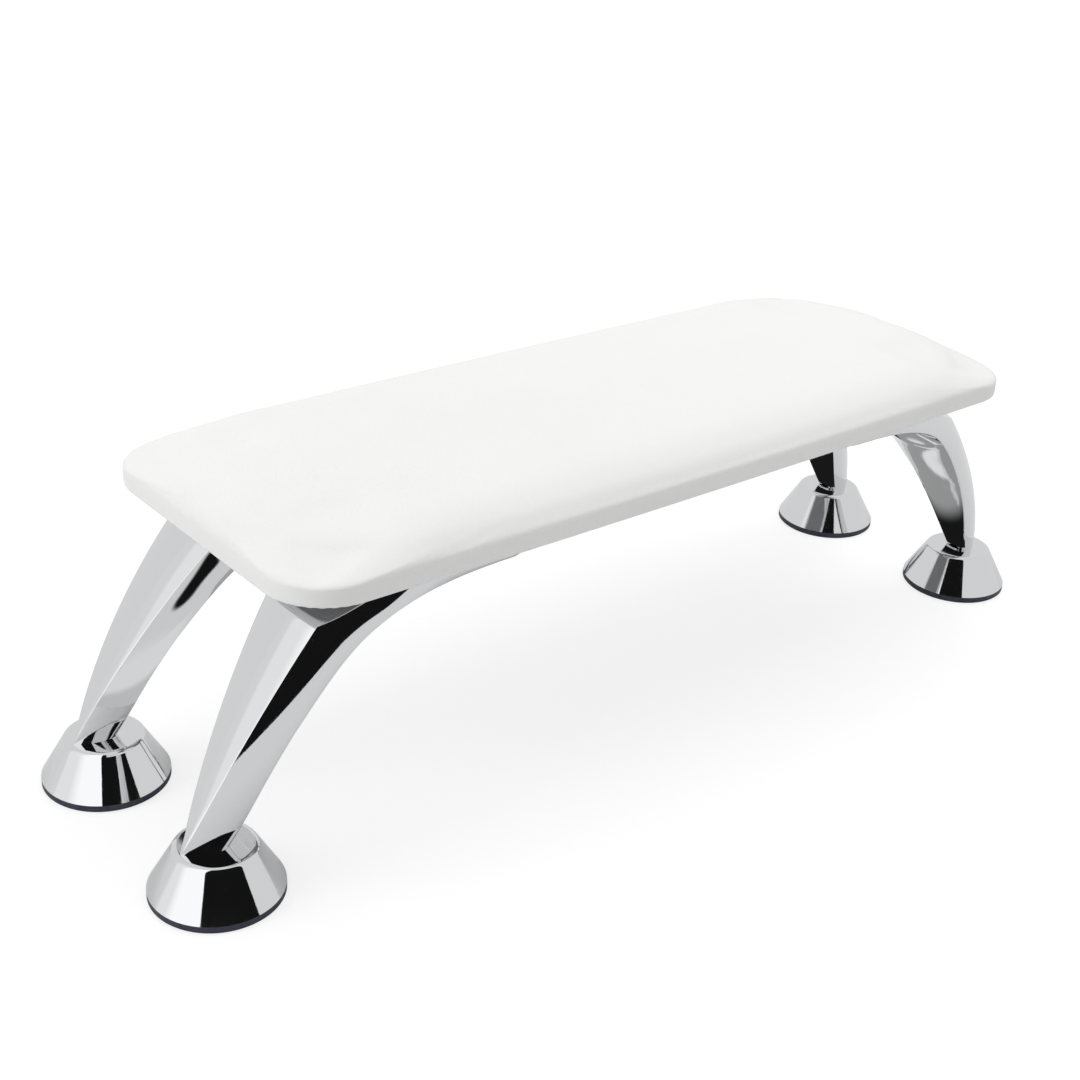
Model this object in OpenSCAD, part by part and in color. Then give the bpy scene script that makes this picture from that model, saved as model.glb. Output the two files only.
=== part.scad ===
// Padded hand rest for a manicure table: a low upholstered pad on four splayed, chromed
// die-cast legs, each standing in a chromed cup with a rubber underside.
// The origin is on the table, under the middle of the pad. X runs along the pad, Y across it.
// Every leg is the same casting or its mirror image, drawn once with its foot on the Z axis.

/* [Pad] */
// Length of the pad
pad_l = 377.4; // [350:0.2:420]
// Width of the pad at its ends
pad_w = 140.4; // [130:0.2:170]
// How far each long side bows out at mid length
pad_bow = 1.4; // [0:0.1:3]
// Radius of the pad's corners in plan
pad_corner_r = 24; // [18:1:34]
// Height of the pad's underside above the table
pad_z = 114; // [106:0.5:125]
// Height of the upright band round the pad's edge
band_h = 8.3; // [7.5:0.1:12]
// Rise of the rolled edge above the band
roll_h = 7.8; // [6:0.1:12]
// Inset over which most of that rise takes place
roll_w = 5; // [3.5:0.1:8]
// Further rise of the crown towards the middle of the pad
crown_h = 2.1; // [1:0.1:4]
// Radius of the corners of the pad's flatter top
crown_corner_r = 60; // [46:1:64]

/* [Upholstery] */
// Thickness of the leather-like cover
cover_t = 1; // [0.8:0.1:1.4]
// Width of the cover that is turned in under the board
turn_in = 14; // [12.5:0.1:18]
// Corner radius of the opening that the turned-in cover leaves
opening_corner_r = 12; // [8:1:16]
// Gap left round the board, the foam and the lining
pad_gap = 0.3; // [0.2:0.05:0.5]
// Staples along each long side
staples_long = 5; // [3:1:9]
// Distance between those staples
staple_pitch = 70; // [30:1:80]
// Distance between the two staples at each end
staple_end_pitch = 50; // [30:1:80]
// Width of a staple
staple_w = 10; // [8:0.5:12]
// Thickness of the staple wire
staple_t = 0.6; // [0.5:0.05:0.8]
// Depth that a staple goes into the pad
staple_depth = 5; // [3:0.1:6]
// Space round a staple's leg
staple_gap = 0.05; // [0.02:0.01:0.1]

/* [Leg] */
// Distance of each foot's axis beyond the end of the pad
foot_out = 19.2; // [14:0.1:24]
// Distance of each foot's axis inside the long side of the pad
foot_inset = 27.65; // [24:0.05:34]
// Outer edge of the leg at its foot, beyond the foot's axis
back_low = 13.1; // [11.5:0.1:13.6]
// Outer edge where it ends at the head, inside the foot's axis
back_top = 36.7; // [34:0.1:39]
// Radius of the outer edge's curve
back_r = 323; // [250:1:450]
// Drop from the pad to the end of the outer edge
crease_drop = 15.5; // [14:0.1:18]
// Length of the sloping shoulder between that end and the pad
shoulder_l = 35.2; // [30:0.1:40]
// Inner edge of the leg at its foot, inside the foot's axis
front_low = 3.6; // [3:0.1:4.5]
// Inner edge near the head, inside the foot's axis
front_top = 46.4; // [44:0.1:50]
// Radius of the inner edge's curve
front_r = 222; // [190:1:300]
// Drop from the pad to that upper point of the inner edge
front_drop = 25; // [23:0.1:27]
// Slant of the flank that faces the long side of the pad
flank_out_slope = 0.36; // [0.3:0.01:0.42]
// Distance of that flank beyond the foot's axis at the foot
flank_out_low = 3.9; // [3.5:0.1:4.6]
// Distance of that flank inside the foot's axis at the end of the outer edge
flank_out_top = 4.2; // [3:0.1:6]
// Radius of that flank's curve
flank_out_r = 221; // [180:1:400]
// Slant of the flank that faces the middle of the pad
flank_in_slope = 0.25; // [0.2:0.01:0.3]
// Distance of that flank beyond the foot's axis at the foot
flank_in_low = 4.4; // [4:0.1:5]
// Distance of that flank beyond the foot's axis at the end of the outer edge
flank_in_top = 13.2; // [12:0.1:14.5]
// Radius of that flank's curve
flank_in_r = 1100; // [600:10:3000]

/* [Leg head] */
// Reach of the head from the foot's axis to its inner end
head_reach = 122; // [116:0.5:128]
// Thickness of the head at its inner end
head_t = 7.7; // [7:0.1:9]
// Radius of the hollow curve from the head into the leg
head_blend_r = 100; // [90:1:110]
// Length of the flat underside of the head
head_flat_l = 23.3; // [20:0.1:26]
// Width of the head on the side of the pad's long edge
head_w_out = 17.3; // [16:0.1:18.5]
// Width of the head on the side of the pad's middle
head_w_in = 28.5; // [26:0.1:30]
// Radius of the head's inner corners
head_corner_r = 8; // [5:0.5:10]
// Distance of the two inner screws from the head's inner end
screw_end_in = 14; // [11:0.5:16]
// Distance of those screws from the sides of the head
screw_side_in = 8.4; // [8:0.1:10]
// Distance of the third screw from the head's inner end
screw_third_in = 40; // [36:0.5:42]

/* [Foot] */
// Radius of the cup at its base
cup_r = 24.4; // [23:0.1:27]
// Radius at which the cup's cone would meet the level of its top
cup_top_r = 14.7; // [14.6:0.1:17]
// Height of the cup's top above the table
cup_top = 19.9; // [19:0.1:22]
// Radius of the rounded lip
cup_lip_r = 2.5; // [0.8:0.1:2.6]
// Wall of the cup's cone, measured level
cup_wall = 2.8; // [2:0.1:3.5]
// Thickness of the cup's top over its hollow
cup_crown_t = 4.9; // [3:0.1:6]
// Radius of the boss inside the cup
boss_r = 8; // [7.2:0.1:9]
// Thickness of the boss under the leg's spigot
boss_t = 6.3; // [6:0.1:6.6]
// Radius of the leg's spigot
spigot_r = 5; // [4.4:0.1:5.6]
// Length of the leg's spigot
spigot_l = 5.8; // [5:0.1:6.4]
// Gap under the end of the spigot
spigot_gap = 0.2; // [0.1:0.05:0.4]
// Thickness of the rubber under the cup
rubber_t = 3; // [1.5:0.1:3.2]
// Chamfer round the rubber's lower edge
rubber_chamfer = 0.5; // [0.2:0.1:0.8]
// Height of the ring that holds the rubber in the cup
plug_h = 2.5; // [1.5:0.1:3]
// Inner radius of that ring
plug_inner_r = 13; // [10:0.1:15]

/* [Fasteners] */
// Radius of the screws' threads
screw_r = 2.5; // [2:0.1:2.8]
// Radius of the leg screws' heads
screw_head_r = 4.75; // [4.2:0.05:5]
// Height of a screw head
screw_head_h = 3; // [2.4:0.1:3.2]
// Across flats of the hexagon socket in a head
socket_w = 3; // [2.5:0.5:4]
// Depth of that socket
socket_d = 1.8; // [1:0.1:2]
// Thickness of the head casting above a screw's seat
seat_t = 6; // [5:0.1:6.2]
// Length of thread in an insert
insert_grip = 5; // [4:0.1:5.2]
// Length of an insert
insert_l = 5.4; // [5.2:0.1:5.6]
// Outer radius of an insert
insert_r = 3.6; // [3.2:0.1:4.2]
// Radius of the foot washer
washer_r = 6; // [5.2:0.1:6.8]
// Thickness of the foot washer
washer_t = 1; // [0.8:0.1:1.2]
// Length of the foot screw's shank
foot_screw_l = 20; // [18:0.5:21]
// Depth left in a blind hole beyond the screw's tip
hole_spare = 2; // [1:0.1:3]
// Play between a thread and its hole
thread_gap = 0.05; // [0.02:0.01:0.08]
// Play round a screw in a clearance hole
clear_gap = 0.25; // [0.2:0.05:0.4]
// Play between a plug, spigot or insert and its hole
plug_gap = 0.05; // [0.02:0.01:0.09]

/* [Hidden] */
// The overrun of every cut
cut = 1;
$fn = 96;

// Which way the foot of each corner lies from the middle of the pad
LEFT = -1;
RIGHT = 1;
FRONT = -1;
BACK = 1;

foot_x = pad_l / 2 + foot_out;
foot_y = pad_w / 2 - foot_inset;

// Heights of the pad's layers
board_z = pad_z + cover_t;
band_top = pad_z + band_h;
board_top = band_top - cover_t - pad_gap;

// The upholstered form is a stack of rings. Each is given by its inset from the pad's outline.
corner_steps = 6;
side_steps = 5;
end_steps = 2;
// Insets of the rings of the outer face, as shares of the roll's width
outer_shares = [0, 0.14, 0.4, 0.8, 1.5, 2.7, 5, 8.6];
// The same for the hidden inner face of the cover and for the foam
inner_shares = [0, 0.5, 1.3, 2.7, 6];
// How fast the corners round off, against the rise of the roll
corner_rate = 3;
// Largest corner radius of a ring, as a share of its half width
round_share = 0.85;

// Fraction of its full rise that the rolled edge has reached at an inset
function roll_fraction(inset) = 1 - exp(-inset / roll_w);

// Rise of the crown at a point, highest in the middle of the pad
function crown_rise(p) =
    crown_h * max(0, 1 - pow(2 * p[0] / pad_l, 2)) * max(0, 1 - pow(2 * p[1] / pad_w, 2));

// One quarter of an outline, from the middle of an end to just before the middle of a long side
function quarter(half_l, half_w, r) = [
    for (i = [0 : end_steps - 1]) [half_l, (half_w - r) * i / end_steps],
    for (i = [0 : corner_steps])
        let (a = 90 * i / corner_steps) [half_l - r + r * cos(a), half_w - r + r * sin(a)],
    for (i = [1 : side_steps - 1]) [(half_l - r) * (1 - i / side_steps), half_w]
];

// Points with the bow of the long sides added
function bowed(points) =
    [for (p = points) [p[0], p[1] * (1 + 2 * pad_bow / pad_w * (1 - pow(2 * p[0] / pad_l, 2)))]];

// A quarter moved to another corner, still listed anticlockwise
function turned(points, side, end) = [
    for (i = [0 : len(points) - 1])
        let (p = points[side * end > 0 ? i : len(points) - 1 - i]) [side * p[0], end * p[1]]
];

function ring_outline(half_l, half_w, r) =
    let (
        q = quarter(half_l, half_w, r),
        tail = [for (i = [1 : len(q) - 1]) q[i]],
        long_mid = [0, half_w]
    )
    bowed(concat(
        q, [long_mid], turned(q, LEFT, BACK),
        turned(tail, LEFT, FRONT), [-long_mid], turned(tail, RIGHT, FRONT)
    ));

function pad_outline(inset, r) =
    ring_outline(pad_l / 2 - inset, pad_w / 2 - inset, min(r, round_share * (pad_w / 2 - inset)));

// One level ring of the upright band, in from the cover's outer face by skin
function band_ring(z, skin) = [for (p = pad_outline(skin, pad_corner_r - skin)) [p[0], p[1], z]];

// One ring of the crowned top, lowered and drawn in by skin
function crown_ring(inset, skin) =
    let (
        grown = roll_fraction(corner_rate * inset),
        r = pad_corner_r + (crown_corner_r - pad_corner_r) * grown - skin * (1 - grown),
        z = band_top - skin + roll_h * roll_fraction(inset)
    )
    [for (p = pad_outline(inset + skin, r)) [p[0], p[1], z + crown_rise(p) * grown]];

function crown_rings(skin, shares) = [for (s = shares) crown_ring(s * roll_w, skin)];

// A closed form through a stack of rings, capped below and above by fans
module ring_solid(rings, top_z) {
    n = len(rings[0]);
    last = (len(rings) - 1) * n;
    ends = [[0, 0, rings[0][0][2]], [0, 0, top_z]];
    walls = [
        for (j = [0 : len(rings) - 2], i = [0 : n - 1])
            let (a = j * n + i, b = j * n + (i + 1) % n) each [[a, a + n, b + n], [a, b + n, b]]
    ];
    caps = [
        for (i = [0 : n - 1])
            let (k = (i + 1) % n)
            each [[last + n, i, k], [last + n + 1, last + k, last + i]]
    ];
    polyhedron(concat([for (ring = rings) each ring], ends), concat(walls, caps), convexity = 4);
}

function crown_top(skin) = band_top - skin + roll_h + crown_h;

// A level plate with the pad's outline
module pad_plate(z, t, inset, r) {
    translate([0, 0, z]) linear_extrude(t) polygon(pad_outline(inset, r));
}

// Disc whose edge bulges to the right between two points, the first of them the lower
module bulging_disc(low, high, r) {
    chord = high - low;
    rise = sqrt(r * r - chord * chord / 4) / norm(chord);
    translate((low + high) / 2 + rise * [-chord[1], chord[0]]) circle(r, $fn = 360);
}

// Children drawn round a foot's axis at the back right, moved to one corner of the part
module at_corner(side, end) {
    mirror([side == LEFT ? 1 : 0, 0, 0])
        mirror([0, end == FRONT ? 1 : 0, 0])
            translate([foot_x, foot_y, 0]) children();
}

module at_corners() {
    for (side = [LEFT, RIGHT], end = [FRONT, BACK]) at_corner(side, end) children();
}

// Middle line of the turned-in cover, where the staples go
staple_x = (pad_l - turn_in) / 2;
staple_y = (pad_w - turn_in) / 2;

module at_staples() {
    for (end = [FRONT, BACK], i = [0 : staples_long - 1])
        translate([(i - (staples_long - 1) / 2) * staple_pitch, end * staple_y, pad_z]) children();
    for (side = [LEFT, RIGHT], end = [FRONT, BACK])
        translate([side * staple_x, end * staple_end_pitch / 2, pad_z]) rotate(90) children();
}

// The two legs of a staple, wider all round by gap
module staple_legs(gap) {
    w = staple_t + 2 * gap;
    for (side = [LEFT, RIGHT])
        translate([side * (staple_w - staple_t) / 2 - w / 2, -w / 2, -gap])
            cube([w, w, staple_depth + 2 * gap]);
}

// Places of the screws in a leg's head, from the foot's axis
head_end = -head_reach;
screw_out_y = head_w_out - screw_side_in;
screw_in_y = screw_side_in - head_w_in;
SCREW_PLACES = [
    [head_end + screw_end_in, screw_out_y],
    [head_end + screw_end_in, screw_in_y],
    [head_end + screw_third_in, (screw_out_y + screw_in_y) / 2]
];
seat_z = pad_z - seat_t;

module at_leg_screws() {
    at_corners() at_head_screws() children();
}

module at_head_screws() {
    for (p = SCREW_PLACES) translate([p[0], p[1], 0]) children();
}

// A cap screw with its seat at z = 0, its head below and its shank above
module cap_screw(shank_l) {
    difference() {
        union() {
            translate([0, 0, -screw_head_h]) cylinder(r = screw_head_r, h = screw_head_h);
            cylinder(r = screw_r, h = shank_l);
        }
        translate([0, 0, -screw_head_h - cut])
            cylinder(d = socket_w / cos(30), h = socket_d + cut, $fn = 6);
    }
}

module round_hole(r, low, high) {
    translate([0, 0, low]) cylinder(r = r, h = high - low);
}

// Levels of the foot, from the socket in the cup's top down to the screw's seat
socket_z = cup_top - spigot_l - spigot_gap;
boss_z = socket_z - boss_t;
foot_seat_z = boss_z - washer_t;
plug_z = rubber_t + plug_h;
hollow_z = cup_top - cup_crown_t;

// The cup's cone: its radius at a height and the direction square to its face
cone_h = cup_top - rubber_t;
cone_run = cup_r - cup_top_r;
cone_angle = atan2(cone_run, cone_h);
function cone_r(z) = cup_r - cone_run * (z - rubber_t) / cone_h;
plug_hole_r = cone_r(plug_z) - cup_wall;

// Levels and lengths of the leg
crease_z = pad_z - crease_drop;
soffit_z = pad_z - head_t;
leg_span = head_reach + foot_out;

// The leg seen along the pad's width: x outward from the foot's axis, y up
module leg_profile() {
    difference() {
        intersection() {
            bulging_disc([back_low, cup_top], [-back_top, crease_z], back_r);
            polygon([
                [head_end, cup_top], [leg_span, cup_top], [leg_span, crease_z],
                [-back_top, crease_z], [-back_top - shoulder_l, pad_z], [head_end, pad_z]
            ]);
        }
        // The hollow inner edge, with the flat underside of the head above it
        intersection() {
            bulging_disc([-front_low, cup_top], [-front_top, pad_z - front_drop], front_r);
            union() {
                translate([head_end + head_flat_l, soffit_z - head_blend_r])
                    circle(head_blend_r, $fn = 360);
                translate([head_end - cut, 0]) square([head_flat_l + cut, soffit_z]);
            }
        }
    }
}

// The room on the leg's side of one flank, a curved wall that slants across the foot's axis
module flank_room(slope, low, high, r) {
    rotate(90 - atan(slope)) rotate([90, 0, 0]) linear_extrude(2 * leg_span, center = true)
        intersection() {
            bulging_disc([low, cup_top], [high, crease_z], r);
            translate([-leg_span, cup_top - cut]) square([2 * leg_span, pad_z]);
        }
}

// The leg from above, as wide as its head and rounded at the head's inner corners
module leg_plan() {
    inner = head_end + head_corner_r;
    for (y = [head_w_out - head_corner_r, head_corner_r - head_w_in])
        translate([inner, y]) circle(head_corner_r);
    translate([head_end, head_corner_r - head_w_in])
        square([leg_span, head_w_out + head_w_in - 2 * head_corner_r]);
    translate([inner, -head_w_in]) square([leg_span, head_w_out + head_w_in]);
}

// One leg at the back right corner, round the axis of its foot
module leg() {
    screw_hole_r = screw_r + clear_gap;
    counterbore_r = screw_head_r + clear_gap;
    difference() {
        union() {
            intersection() {
                rotate([90, 0, 0]) linear_extrude(2 * leg_span, center = true) leg_profile();
                flank_room(flank_out_slope, flank_out_low, -flank_out_top, flank_out_r);
                mirror([0, 1, 0])
                    flank_room(flank_in_slope, flank_in_low, flank_in_top, flank_in_r);
                linear_extrude(pad_z + cut) leg_plan();
            }
            translate([0, 0, cup_top - spigot_l]) cylinder(r = spigot_r, h = spigot_l);
        }
        round_hole(screw_r + thread_gap, cup_top - spigot_l - cut,
                   foot_seat_z + foot_screw_l + hole_spare);
        at_head_screws() {
            round_hole(screw_hole_r, soffit_z - head_t, pad_z + cut);
            round_hole(counterbore_r, soffit_z - head_t, seat_z);
        }
    }
}

// Centre of the circle that rounds the lip, touching both the cone and the top
lip_centre = [
    cup_top_r - cup_lip_r * (1 - sin(cone_angle)) / cos(cone_angle),
    cup_top - cup_lip_r
];

// One cup, turned: a cone with a rounded lip, hollow below round a boss for the screw
module cup() {
    rotate_extrude($fn = 180) difference() {
        union() {
            translate(lip_centre) circle(cup_lip_r);
            polygon([
                [0, rubber_t], [cup_r, rubber_t],
                lip_centre + cup_lip_r * [cos(cone_angle), sin(cone_angle)], lip_centre,
                [lip_centre[0], cup_top], [0, cup_top]
            ]);
        }
        polygon([
            [0, rubber_t - cut], [plug_hole_r, rubber_t - cut], [plug_hole_r, plug_z],
            [cone_r(hollow_z) - cup_wall, hollow_z], [boss_r, hollow_z], [boss_r, boss_z],
            [0, boss_z]
        ]);
        translate([0, boss_z - cut]) square([screw_r + clear_gap, cup_top]);
        translate([0, socket_z]) square([spigot_r + plug_gap, cup_top]);
    }
}

// The rubber under one cup, with the ring that plugs into the cup's hollow
module rubber() {
    rotate_extrude($fn = 180) polygon([
        [0, 0], [cup_r - rubber_chamfer, 0], [cup_r, rubber_chamfer], [cup_r, rubber_t],
        [plug_hole_r - plug_gap, rubber_t], [plug_hole_r - plug_gap, plug_z],
        [plug_inner_r, plug_z], [plug_inner_r, rubber_t], [0, rubber_t]
    ]);
}

module cover() {
    color("whitesmoke") difference() {
        ring_solid(concat([band_ring(pad_z, 0)], crown_rings(0, outer_shares)), crown_top(0));
        ring_solid(concat([band_ring(board_z, cover_t)], crown_rings(cover_t, inner_shares)),
                   crown_top(cover_t));
        pad_plate(pad_z - cut, cover_t + 2 * cut, turn_in, opening_corner_r);
        at_staples() staple_legs(staple_gap);
    }
}

module foam() {
    skin = cover_t + pad_gap;
    color("lemonchiffon") ring_solid(crown_rings(skin, inner_shares), crown_top(skin));
}

module board() {
    inset = cover_t + pad_gap;
    color("burlywood") difference() {
        pad_plate(board_z, board_top - board_z, inset, pad_corner_r - inset);
        at_leg_screws() round_hole(insert_r + plug_gap, board_z - cut, board_top + cut);
        at_staples() staple_legs(staple_gap);
    }
}

module lining() {
    color("dimgray") difference() {
        pad_plate(pad_z, cover_t, turn_in + pad_gap, opening_corner_r - pad_gap);
        at_leg_screws() round_hole(screw_r + clear_gap, pad_z - cut, board_z + cut);
    }
}

module staples() {
    color("silver") at_staples() {
        translate([-staple_w / 2, -staple_t / 2, -staple_t]) cube([staple_w, staple_t, staple_t]);
        staple_legs(0);
    }
}

module threaded_inserts() {
    color("goldenrod") at_leg_screws() difference() {
        round_hole(insert_r, board_z, board_z + insert_l);
        round_hole(screw_r + thread_gap, board_z - cut, board_z + insert_l + cut);
    }
}

module leg_screws() {
    color("gray") at_leg_screws() translate([0, 0, seat_z])
        cap_screw(seat_t + cover_t + insert_grip);
}

module foot_washers() {
    color("lightgray") at_corners() difference() {
        round_hole(washer_r, foot_seat_z, boss_z);
        round_hole(screw_r + clear_gap, foot_seat_z - cut, boss_z + cut);
    }
}

module foot_screws() {
    color("gray") at_corners() translate([0, 0, foot_seat_z]) cap_screw(foot_screw_l);
}

module leg_front_left() { color("gainsboro") at_corner(LEFT, FRONT) leg(); }
module leg_front_right() { color("gainsboro") at_corner(RIGHT, FRONT) leg(); }
module leg_back_left() { color("gainsboro") at_corner(LEFT, BACK) leg(); }
module leg_back_right() { color("gainsboro") at_corner(RIGHT, BACK) leg(); }

module cup_front_left() { color("silver") at_corner(LEFT, FRONT) cup(); }
module cup_front_right() { color("silver") at_corner(RIGHT, FRONT) cup(); }
module cup_back_left() { color("silver") at_corner(LEFT, BACK) cup(); }
module cup_back_right() { color("silver") at_corner(RIGHT, BACK) cup(); }

module rubber_front_left() { color("midnightblue") at_corner(LEFT, FRONT) rubber(); }
module rubber_front_right() { color("midnightblue") at_corner(RIGHT, FRONT) rubber(); }
module rubber_back_left() { color("midnightblue") at_corner(LEFT, BACK) rubber(); }
module rubber_back_right() { color("midnightblue") at_corner(RIGHT, BACK) rubber(); }

cover();
foam();
board();
lining();
staples();
threaded_inserts();
leg_screws();
leg_front_left();
leg_front_right();
leg_back_left();
leg_back_right();
cup_front_left();
cup_front_right();
cup_back_left();
cup_back_right();
foot_washers();
foot_screws();
rubber_front_left();
rubber_front_right();
rubber_back_left();
rubber_back_right();
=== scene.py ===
import math

import bmesh
import bpy
from mathutils import Matrix, Vector


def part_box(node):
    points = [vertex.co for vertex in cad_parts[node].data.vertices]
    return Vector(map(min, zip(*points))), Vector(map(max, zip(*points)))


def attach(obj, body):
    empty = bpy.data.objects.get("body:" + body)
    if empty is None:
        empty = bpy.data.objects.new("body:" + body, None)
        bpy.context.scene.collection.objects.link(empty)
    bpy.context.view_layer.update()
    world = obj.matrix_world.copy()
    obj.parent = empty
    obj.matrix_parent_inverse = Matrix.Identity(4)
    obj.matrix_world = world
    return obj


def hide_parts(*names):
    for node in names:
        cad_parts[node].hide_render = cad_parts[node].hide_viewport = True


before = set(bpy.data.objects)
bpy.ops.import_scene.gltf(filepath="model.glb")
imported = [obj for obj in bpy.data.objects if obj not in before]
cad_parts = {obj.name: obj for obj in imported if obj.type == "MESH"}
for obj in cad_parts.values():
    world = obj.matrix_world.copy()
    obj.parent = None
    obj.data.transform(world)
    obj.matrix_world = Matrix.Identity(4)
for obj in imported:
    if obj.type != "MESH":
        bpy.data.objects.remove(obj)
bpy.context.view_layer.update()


# Wooden board
# The part that everything is screwed or stapled to: a 6 mm panel of plywood with a round-cornered
# outline, sawn and left raw. The cover hides its edge and the lining its underside.
BOARD_LIGHT = (0.62, 0.45, 0.28, 1)
BOARD_DARK = (0.45, 0.29, 0.16, 1)
BOARD_ROUGHNESS = 0.75
# Fineness of the grain along, across and through the board, and its relief
GRAIN_FINENESS = (9, 160, 600)
GRAIN_DEPTH = 0.0002


def place(tree, kind, sockets=None, **settings):
    """Adds one shader node, with its settings and with values or links for its sockets."""
    added = tree.nodes.new(kind)
    for name, value in settings.items():
        setattr(added, name, value)
    for name, value in (sockets or {}).items():
        if isinstance(value, bpy.types.NodeSocket):
            tree.links.new(value, added.inputs[name])
        else:
            added.inputs[name].default_value = value
    return added


def new_material(name, roughness, metallic=0.0):
    """A material, its tree and its principled shader."""
    material = bpy.data.materials.new(name)
    material.use_nodes = True
    shader = material.node_tree.nodes["Principled BSDF"]
    shader.inputs["Roughness"].default_value = roughness
    shader.inputs["Metallic"].default_value = metallic
    return material, material.node_tree, shader


def object_place(tree):
    """The point of the surface, in metres."""
    return tree.nodes.new("ShaderNodeTexCoord").outputs["Object"]


def stretched(tree, vector, scale, turn=(0, 0, 0)):
    """A texture's coordinates, scaled along each axis after a turn."""
    return place(tree, "ShaderNodeMapping", {"Vector": vector, "Rotation": turn, "Scale": scale}
                 ).outputs[0]


def tint(tree, shader, mask, plain, other):
    """Colours a surface, from its plain colour to another one by a mask."""
    tone = place(tree, "ShaderNodeMix", {0: mask, 6: plain, 7: other}, data_type="RGBA")
    tree.links.new(tone.outputs[2], shader.inputs["Base Color"])


def bump(tree, shader, height, depth):
    """Raises the surface by the height, up to a depth in metres."""
    relief = place(tree, "ShaderNodeBump", {"Height": height, "Strength": 1.0, "Distance": depth})
    tree.links.new(relief.outputs[0], shader.inputs["Normal"])


def finish(nodes, material):
    """Gives CAD nodes a finished material."""
    for name in nodes:
        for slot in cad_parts[name].material_slots:
            slot.material = material


def plywood():
    """Raw veneer with long dark grain."""
    material, tree, shader = new_material("raw_plywood", BOARD_ROUGHNESS)
    grain = place(tree, "ShaderNodeTexNoise", {
        "Vector": stretched(tree, object_place(tree), GRAIN_FINENESS),
        "Scale": 1.0, "Detail": 6.0, "Distortion": 0.6})
    tint(tree, shader, grain.outputs["Fac"], BOARD_DARK, BOARD_LIGHT)
    bump(tree, shader, grain.outputs["Fac"], GRAIN_DEPTH)
    return material


finish(["board"], plywood())


# Threaded inserts
# Twelve turned brass sleeves, pressed into the board before the foam goes on. The leg screws end
# in them.
BRASS = (0.72, 0.50, 0.20, 1)
# Turns of the two sets of scratches, and their length against their width
SCRATCH_TURNS = (0.5, 2.1)
SCRATCH_STRETCH = (1, 0.04, 1)


def new_group(name, output, size=None):
    """A node group with a vector and perhaps a size as inputs, with its entry and its exit."""
    group = bpy.data.node_groups.new(name, "ShaderNodeTree")
    group.interface.new_socket("Vector", in_out="INPUT", socket_type="NodeSocketVector")
    if size:
        group.interface.new_socket(
            "Size", in_out="INPUT", socket_type="NodeSocketFloat").default_value = size
    group.interface.new_socket(output, in_out="OUTPUT", socket_type="NodeSocketFloat")
    return group, group.nodes.new("NodeGroupInput"), group.nodes.new("NodeGroupOutput")


def smudges():
    """Node group: slow, soft patches where a surface was handled, from 0 to 1."""
    group, entry, leave = new_group("smudges", "Mask", 60.0)
    broad = place(group, "ShaderNodeTexNoise", {
        "Vector": entry.outputs["Vector"], "Scale": entry.outputs["Size"],
        "Detail": 5.0, "Roughness": 0.6, "Distortion": 0.8})
    mask = place(group, "ShaderNodeMapRange", {
        "Value": broad.outputs["Fac"], "From Min": 0.42, "From Max": 0.72}, clamp=True)
    group.links.new(mask.outputs[0], leave.inputs["Mask"])
    return group


SMUDGES = smudges()


def hairlines():
    """Node group: short fine scratches in two directions, as a height from 0 to 1."""
    group, entry, leave = new_group("hairlines", "Height", 400.0)
    heights = []
    for turn in SCRATCH_TURNS:
        lines = place(group, "ShaderNodeTexNoise", {
            "Vector": stretched(group, entry.outputs["Vector"], SCRATCH_STRETCH, (turn,) * 3),
            "Scale": entry.outputs["Size"], "Detail": 3.0, "Roughness": 0.7})
        heights.append(place(group, "ShaderNodeMapRange", {
            "Value": lines.outputs["Fac"], "From Min": 0.62, "From Max": 0.74}, clamp=True))
    both = place(group, "ShaderNodeMath", {
        0: heights[0].outputs[0], 1: heights[1].outputs[0]}, operation="MAXIMUM")
    group.links.new(both.outputs[0], leave.inputs["Height"])
    return group


HAIRLINES = hairlines()


def vary_roughness(tree, shader, mask, low, high, top=1.0):
    """Makes a surface's roughness go from low to high as a mask goes from 0 to its top."""
    rough = place(tree, "ShaderNodeMapRange", {
        "Value": mask, "From Max": top, "To Min": low, "To Max": high})
    tree.links.new(rough.outputs[0], shader.inputs["Roughness"])


def metal(name, colour, shine, dull, smudge_size, scratch_size, scratch_depth):
    """A worn metal: its roughness goes from shine to dull in the smudges."""
    material, tree, shader = new_material(name, shine, 1.0)
    shader.inputs["Base Color"].default_value = colour
    spot = object_place(tree)
    patches = place(tree, "ShaderNodeGroup", {"Vector": spot, "Size": smudge_size},
                    node_tree=SMUDGES)
    vary_roughness(tree, shader, patches.outputs["Mask"], shine, dull)
    scratches = place(tree, "ShaderNodeGroup", {"Vector": spot, "Size": scratch_size},
                      node_tree=HAIRLINES)
    bump(tree, shader, scratches.outputs["Height"], scratch_depth)
    return material


finish(["threaded_inserts"], metal(
    "turned_brass", BRASS, shine=0.28, dull=0.42, smudge_size=300.0, scratch_size=2500.0,
    scratch_depth=0.00001))


# Foam
# One block of soft foam, glued on the board and cut a little smaller than the cover, so that the
# cover pulls it into its crown.
FOAM_COLOUR = (0.86, 0.78, 0.52, 1)
FOAM_SHADE = (0.60, 0.50, 0.28, 1)
CELL_FINENESS = 900.0
CELL_DEPTH = 0.0006
# Thickness of the cover, and the play between it and the foam
COVER_T = 0.001
SKIN_GAP = 0.0003

cover_low, cover_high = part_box("cover")
# The pad's plan: its sides bow out at mid length, and its corners are round
PAD_Z = cover_low.z
PAD_L = cover_high.x - cover_low.x
PAD_BOW = 0.0014
PAD_W = cover_high.y - cover_low.y - 2 * PAD_BOW
PAD_CORNER_R = 0.024
# Its profile: an upright band, a roll above it and a crown over the whole top
BAND_H = 0.0083
ROLL_H = 0.0078
ROLL_W = 0.005
CROWN_H = cover_high.z - PAD_Z - BAND_H - ROLL_H
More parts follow.
